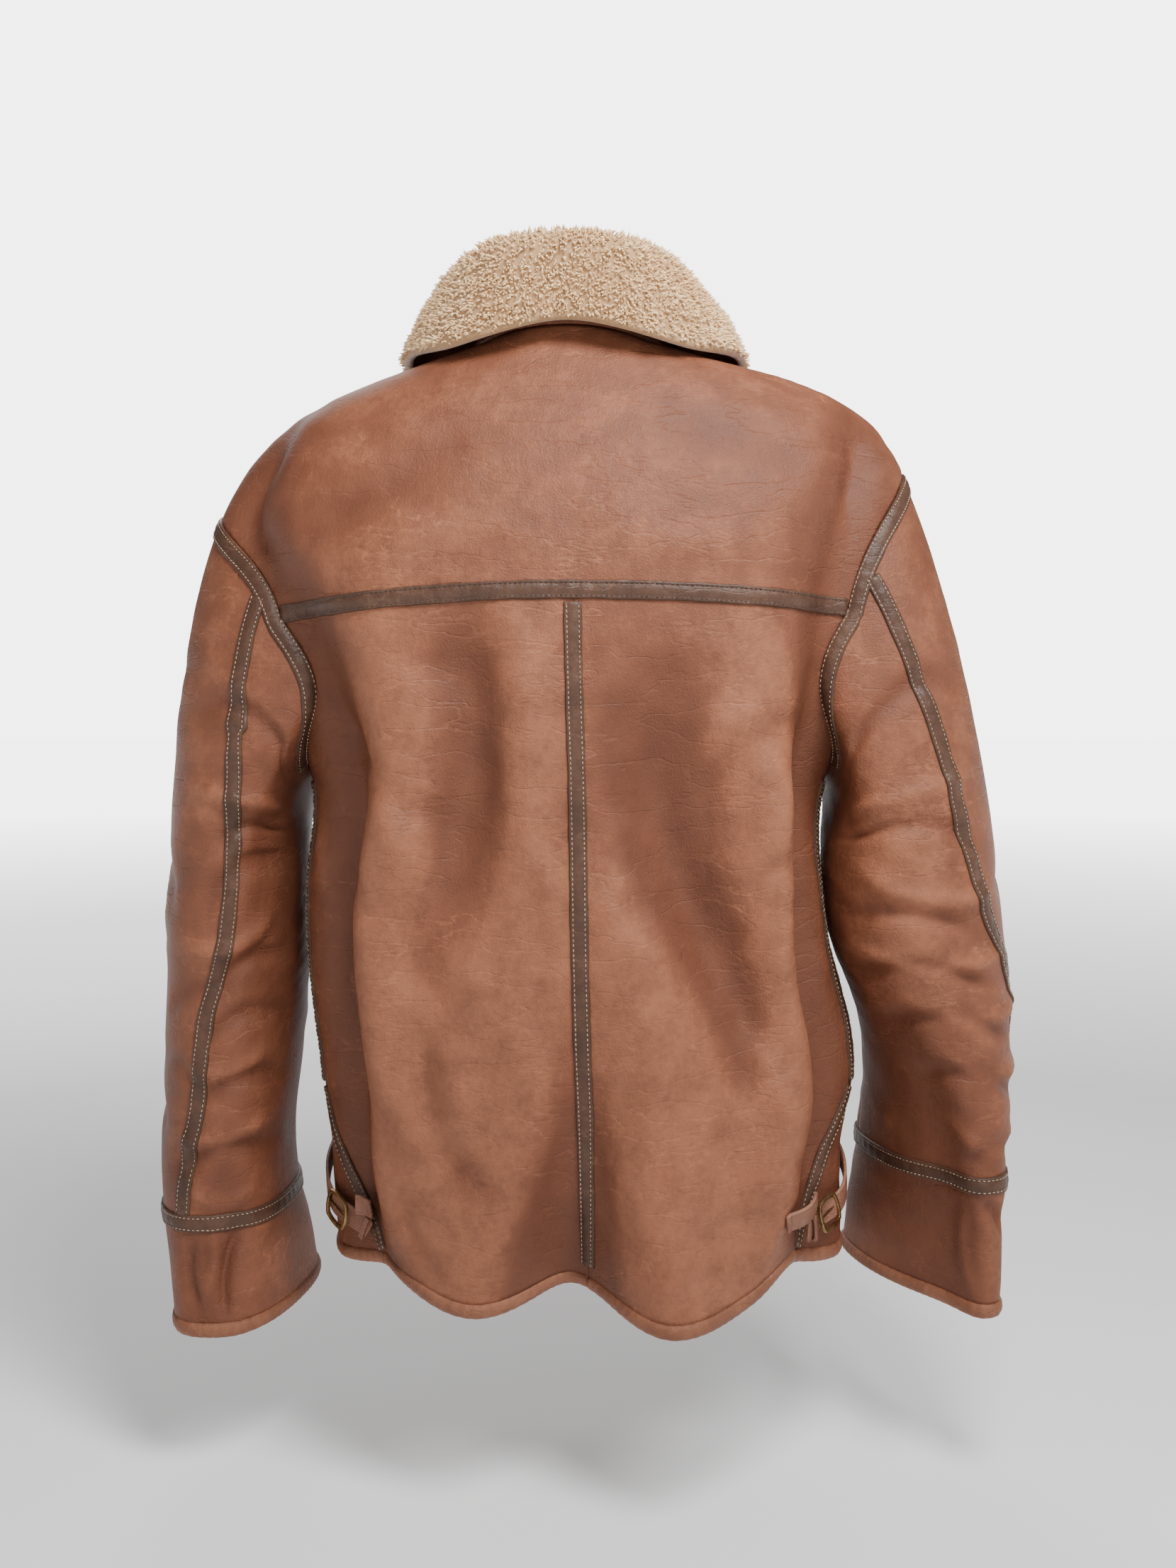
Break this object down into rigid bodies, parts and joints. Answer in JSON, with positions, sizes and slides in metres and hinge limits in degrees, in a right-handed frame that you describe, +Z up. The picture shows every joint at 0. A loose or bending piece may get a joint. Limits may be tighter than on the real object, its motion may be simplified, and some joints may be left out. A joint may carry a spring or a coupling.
{
  "type": "shearling jacket",
  "caption": "Hip-length shearling jacket, filled out as worn, with a folded wool collar, taped seams, turned cuffs, side straps with buckles and a closed front zip.",
  "frame": {"origin": "middle of the base of the neck, between the tops of the shoulders, where the wearer holds the jacket up", "axes": "+Z up, +Y towards the wearer's front, +X towards the wearer's right side"},
  "size_m": [0.6774, 0.3153, 0.8477],
  "materials": {
    "leather": "waxed grain, satin",
    "tape": "satin",
    "edging": "satin",
    "wool": "sheared pile",
    "strap": "satin",
    "brass": "antique, satin",
    "zip": "woven, matt"
  },
  "bodies": {
    "jacket": {"armhole_tape_left": "tape", "armhole_tape_right": "tape", "back_panel_left": "leather", "back_panel_right": "leather", "back_yoke": "leather", "buckle_left": "brass", "buckle_prong_left": "brass", "buckle_prong_right": "brass", "buckle_right": "brass", "centre_back_tape": "tape", "collar": "wool", "cuff_edging_left": "edging", "cuff_edging_right": "edging", "cuff_left": "leather", "cuff_right": "leather", "cuff_tape_left": "tape", "cuff_tape_right": "tape", "front_panel_left": "leather", "front_panel_right": "leather", "gusset_left": "leather", "gusset_right": "leather", "gusset_tape_left": "tape", "gusset_tape_right": "tape", "hem_edging_back_left": "edging", "hem_edging_back_right": "edging", "hem_edging_front_left": "edging", "hem_edging_front_right": "edging", "hem_edging_gusset_left": "edging", "hem_edging_gusset_right": "edging", "side_tape_left": "tape", "side_tape_right": "tape", "sleeve_tape_left": "tape", "sleeve_tape_right": "tape", "sleeve_top_left": "leather", "sleeve_top_right": "leather", "sleeve_under_left": "leather", "sleeve_under_right": "leather", "strap_keeper_left": "strap", "strap_keeper_right": "strap", "strap_left": "strap", "strap_right": "strap", "strap_tab_left": "strap", "strap_tab_right": "strap", "yoke_tape": "tape", "zip_slider": "brass", "zip_tape_left": "zip", "zip_tape_right": "zip"},
    "pull": {"zip_pull": "brass"}
  },
  "joints": [
    {"name": "zip_pull_hinge", "type": "hinge", "parent": "jacket", "child": "pull", "pos_m": [-0.01276, 0.11855, -0.16547], "axis": [1, 0, 0], "range_deg": [0, 80]}
  ]
}
